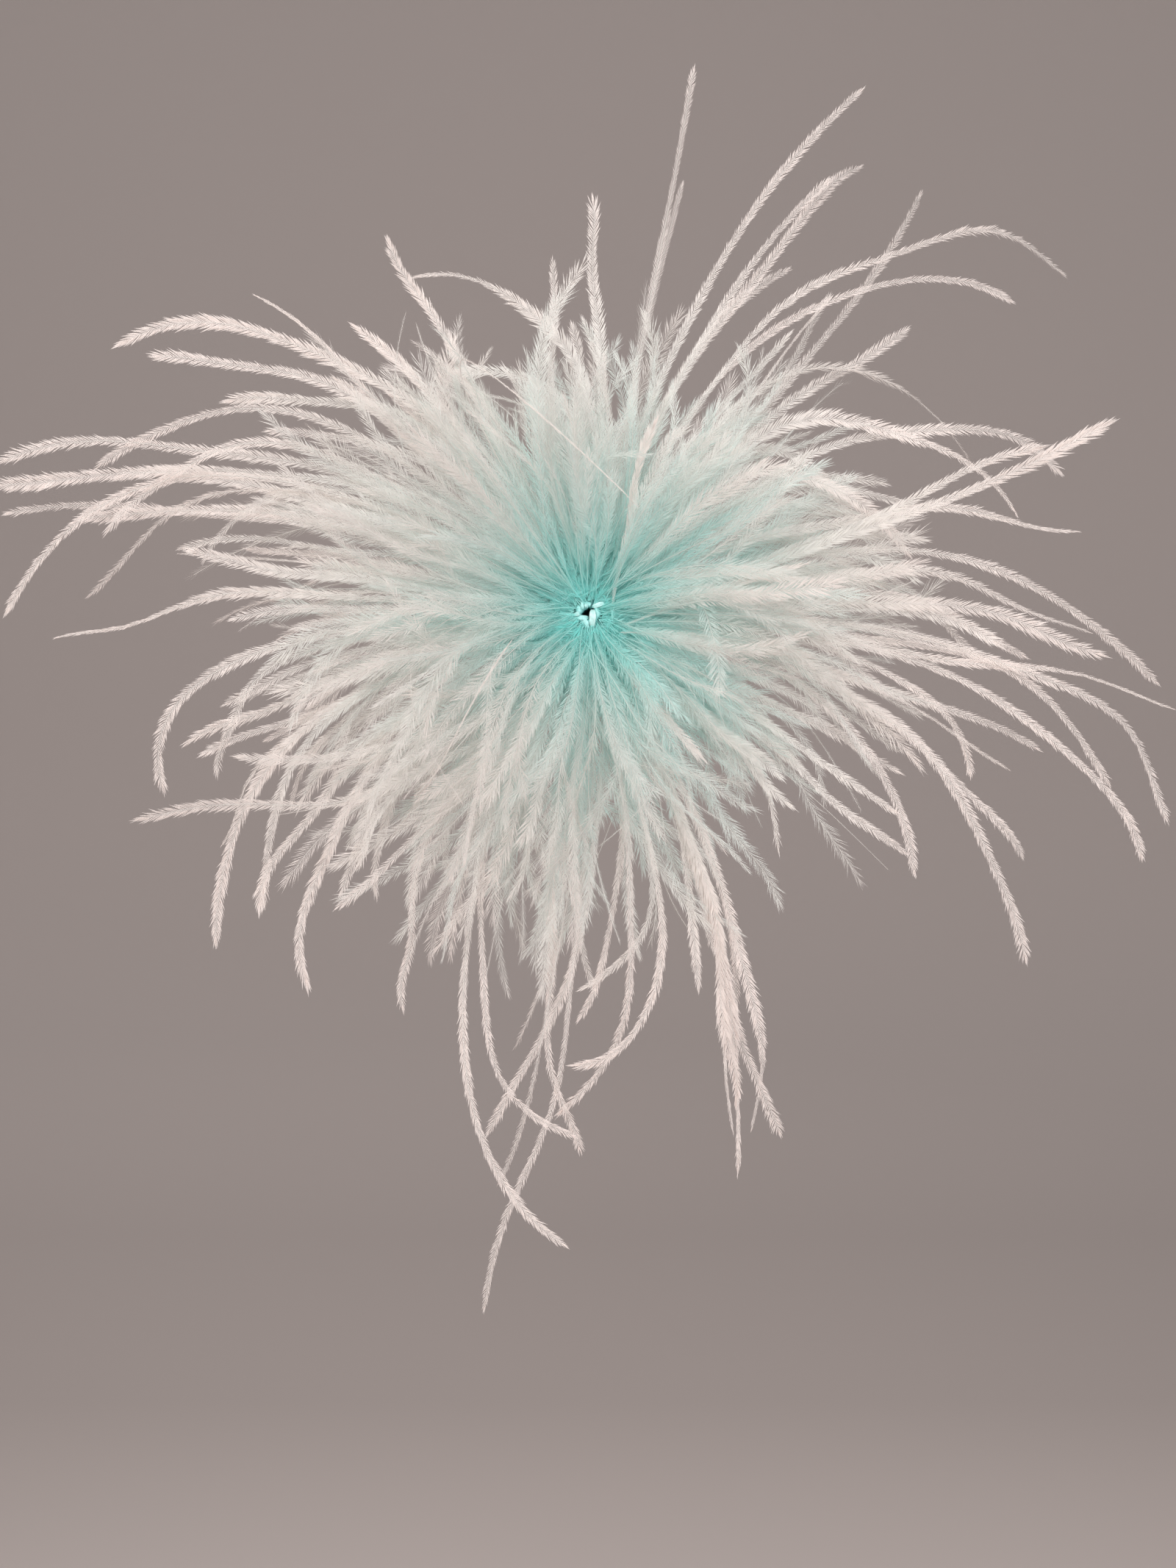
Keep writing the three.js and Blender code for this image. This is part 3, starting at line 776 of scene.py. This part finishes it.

# %% [markdown]
# Quill ends are smooth horn, paler towards the rim and the edges of the folds; the near-black inside of the
# eye is painted shade. Fine grooves run along them. The felt is pressed wool, a deeper mint, with a matt nap
# of tangled fibres. The clip is satin spring steel, brushed along its length. All three read the object's own
# coordinates, so a pattern keeps its size in millimetres.

# %% Quill, felt and steel
def object_noise(nodes, links, stretch, detail):
    """Noise on the object's coordinates, with its own fineness along each axis."""
    spot = nodes.new("ShaderNodeTexCoord")
    sizing = nodes.new("ShaderNodeMapping")
    sizing.inputs["Scale"].default_value = stretch
    grain = nodes.new("ShaderNodeTexNoise")
    grain.inputs["Scale"].default_value = 1
    grain.inputs["Detail"].default_value = detail
    links.new(spot.outputs["Object"], sizing.inputs["Vector"])
    links.new(sizing.outputs["Vector"], grain.inputs["Vector"])
    return grain.outputs["Fac"]


def spread(nodes, links, value, low, high, start=0.3, end=0.7):
    node = nodes.new("ShaderNodeMapRange")
    for name, number in (("From Min", start), ("From Max", end), ("To Min", low), ("To Max", high)):
        node.inputs[name].default_value = number
    links.new(value, node.inputs["Value"])
    return node.outputs["Result"]


def raise_grain(nodes, links, surface, value, depth):
    bump = nodes.new("ShaderNodeBump")
    bump.inputs["Strength"].default_value = 0.6
    bump.inputs["Distance"].default_value = depth
    links.new(value, bump.inputs["Height"])
    links.new(bump.outputs["Normal"], surface.inputs["Normal"])


def quill_finish():
    material, nodes, links, surface, _ = new_material("quill_finish")
    paleness_and_shade = nodes.new("ShaderNodeAttribute")
    paleness_and_shade.attribute_name = "pale"
    # the dark low end of this ramp colours the inside of the eye: painted shade
    colours = ramp(nodes, [
        (0.0, (0.004, 0.02, 0.02)), (0.2, (0.03, 0.16, 0.16)), (0.45, (0.26, 0.66, 0.64)),
        (0.7, (0.42, 0.76, 0.74)), (1.0, (0.66, 0.87, 0.85)),
    ])
    links.new(paleness_and_shade.outputs["Fac"], colours.inputs["Fac"])
    grooves = object_noise(nodes, links, (1500, 300, 1500), 3)
    shade = spread(nodes, links, grooves, 0.82, 1.08)
    grooved = blend_colours(nodes, links, 1.0, colours.outputs["Color"], shade, "MULTIPLY")
    links.new(grooved, surface.inputs["Base Color"])
    links.new(spread(nodes, links, grooves, 0.3, 0.5), surface.inputs["Roughness"])
    raise_grain(nodes, links, surface, grooves, 0.00008)
    return material


def felt_finish():
    material, nodes, links, surface, _ = new_material("felt_finish")
    fibres = object_noise(nodes, links, (2600, 2600, 2600), 6)
    clouds = object_noise(nodes, links, (140, 140, 140), 2)
    wool = ramp(nodes, [(0.3, (0.10, 0.34, 0.32)), (0.7, (0.25, 0.55, 0.52))])
    links.new(fibres, wool.inputs["Fac"])
    cloudy = spread(nodes, links, clouds, 0.85, 1.1)
    clouded = blend_colours(nodes, links, 1.0, wool.outputs["Color"], cloudy, "MULTIPLY")
    links.new(clouded, surface.inputs["Base Color"])
    links.new(spread(nodes, links, fibres, 0.85, 1.0), surface.inputs["Roughness"])
    surface.inputs["Sheen Weight"].default_value = 0.4
    surface.inputs["Specular IOR Level"].default_value = 0.2
    raise_grain(nodes, links, surface, fibres, 0.0003)
    return material


def steel_finish():
    material, nodes, links, surface, _ = new_material("steel_finish")
    brushing = object_noise(nodes, links, (60, 4200, 4200), 4)
    tone = ramp(nodes, [(0.3, (0.46, 0.47, 0.48)), (0.7, (0.66, 0.67, 0.68))])
    links.new(brushing, tone.inputs["Fac"])
    links.new(tone.outputs["Color"], surface.inputs["Base Color"])
    links.new(spread(nodes, links, brushing, 0.26, 0.46), surface.inputs["Roughness"])
    surface.inputs["Metallic"].default_value = 1.0
    raise_grain(nodes, links, surface, brushing, 0.00003)
    return material


knot.data.materials.append(quill_finish())
for name, finish in (("felt_base", felt_finish()), ("hair_clip", steel_finish())):
    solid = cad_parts[name]
    solid.material_slots[0].material = finish
    print(name, "->", finish.name)

# %% [markdown]
# Floor, light and camera: a pale seamless sheet, one large soft light from the upper left, a weaker one
# from the right and one from behind to glow through the barbs. The camera looks straight on, level, a
# little below the knot.

# %% Stage
def seamless_sheet():
    profile = [(-2.2, -0.5), (1.0, -0.5), (1.35, -0.45), (1.55, -0.3), (1.62, 0.0), (1.62, 2.2)]
    points = [(x, y, z) for x in (-3.0, 3.0) for y, z in profile]
    count = len(profile)
    faces = [(i, i + 1, count + i + 1, count + i) for i in range(count - 1)]
    mesh = bpy.data.meshes.new("seamless_sheet")
    mesh.from_pydata(points, [], faces)
    for polygon in mesh.polygons:
        polygon.use_smooth = True
    sheet = bpy.data.objects.new("seamless_sheet", mesh)
    bpy.context.scene.collection.objects.link(sheet)
    material, _, _, surface, _ = new_material("paper")
    surface.inputs["Base Color"].default_value = (0.52, 0.46, 0.44, 1)
    surface.inputs["Roughness"].default_value = 0.9
    mesh.materials.append(material)


def soft_light(name, place, aim, size, power, colour):
    data = bpy.data.lights.new(name, "AREA")
    data.shape = "DISK"
    data.size = size
    data.energy = power
    data.color = colour
    light = bpy.data.objects.new(name, data)
    light.location = place
    light.rotation_euler = (Vector(aim) - Vector(place)).to_track_quat("-Z", "Y").to_euler()
    bpy.context.scene.collection.objects.link(light)


seamless_sheet()
soft_light("key", (-0.40, -1.05, 0.50), (0, 0, 0), 1.1, 14, (1.0, 0.97, 0.95))
soft_light("fill", (0.55, -1.0, -0.05), (0, 0, 0), 0.9, 6, (0.95, 0.98, 1.0))
soft_light("glow", (0.15, 0.55, 0.6), (0, 0, 0), 0.6, 4.5, (1.0, 0.97, 0.95))
world = bpy.data.worlds.new("room")
world.use_nodes = True
world.node_tree.nodes["Background"].inputs["Color"].default_value = (0.80, 0.77, 0.76, 1)
world.node_tree.nodes["Background"].inputs["Strength"].default_value = 0.42
bpy.context.scene.world = world
bpy.context.scene.view_settings.view_transform = "Standard"

KNOT_FORWARD = 0.016
CAMERA_DISTANCE = 0.62
FRAME_HEIGHT = 0.4353
CAMERA_DROP = 0.0475
camera_data = bpy.data.cameras.new("camera")
camera_data.sensor_width = 36
camera_data.lens = 36 * CAMERA_DISTANCE / FRAME_HEIGHT
camera = bpy.data.objects.new("camera", camera_data)
camera.location = (0, -KNOT_FORWARD - CAMERA_DISTANCE, -CAMERA_DROP)
camera.rotation_euler = (math.pi / 2, 0, 0)
bpy.context.scene.collection.objects.link(camera)
bpy.context.scene.camera = camera
print("lens", round(camera_data.lens, 1))
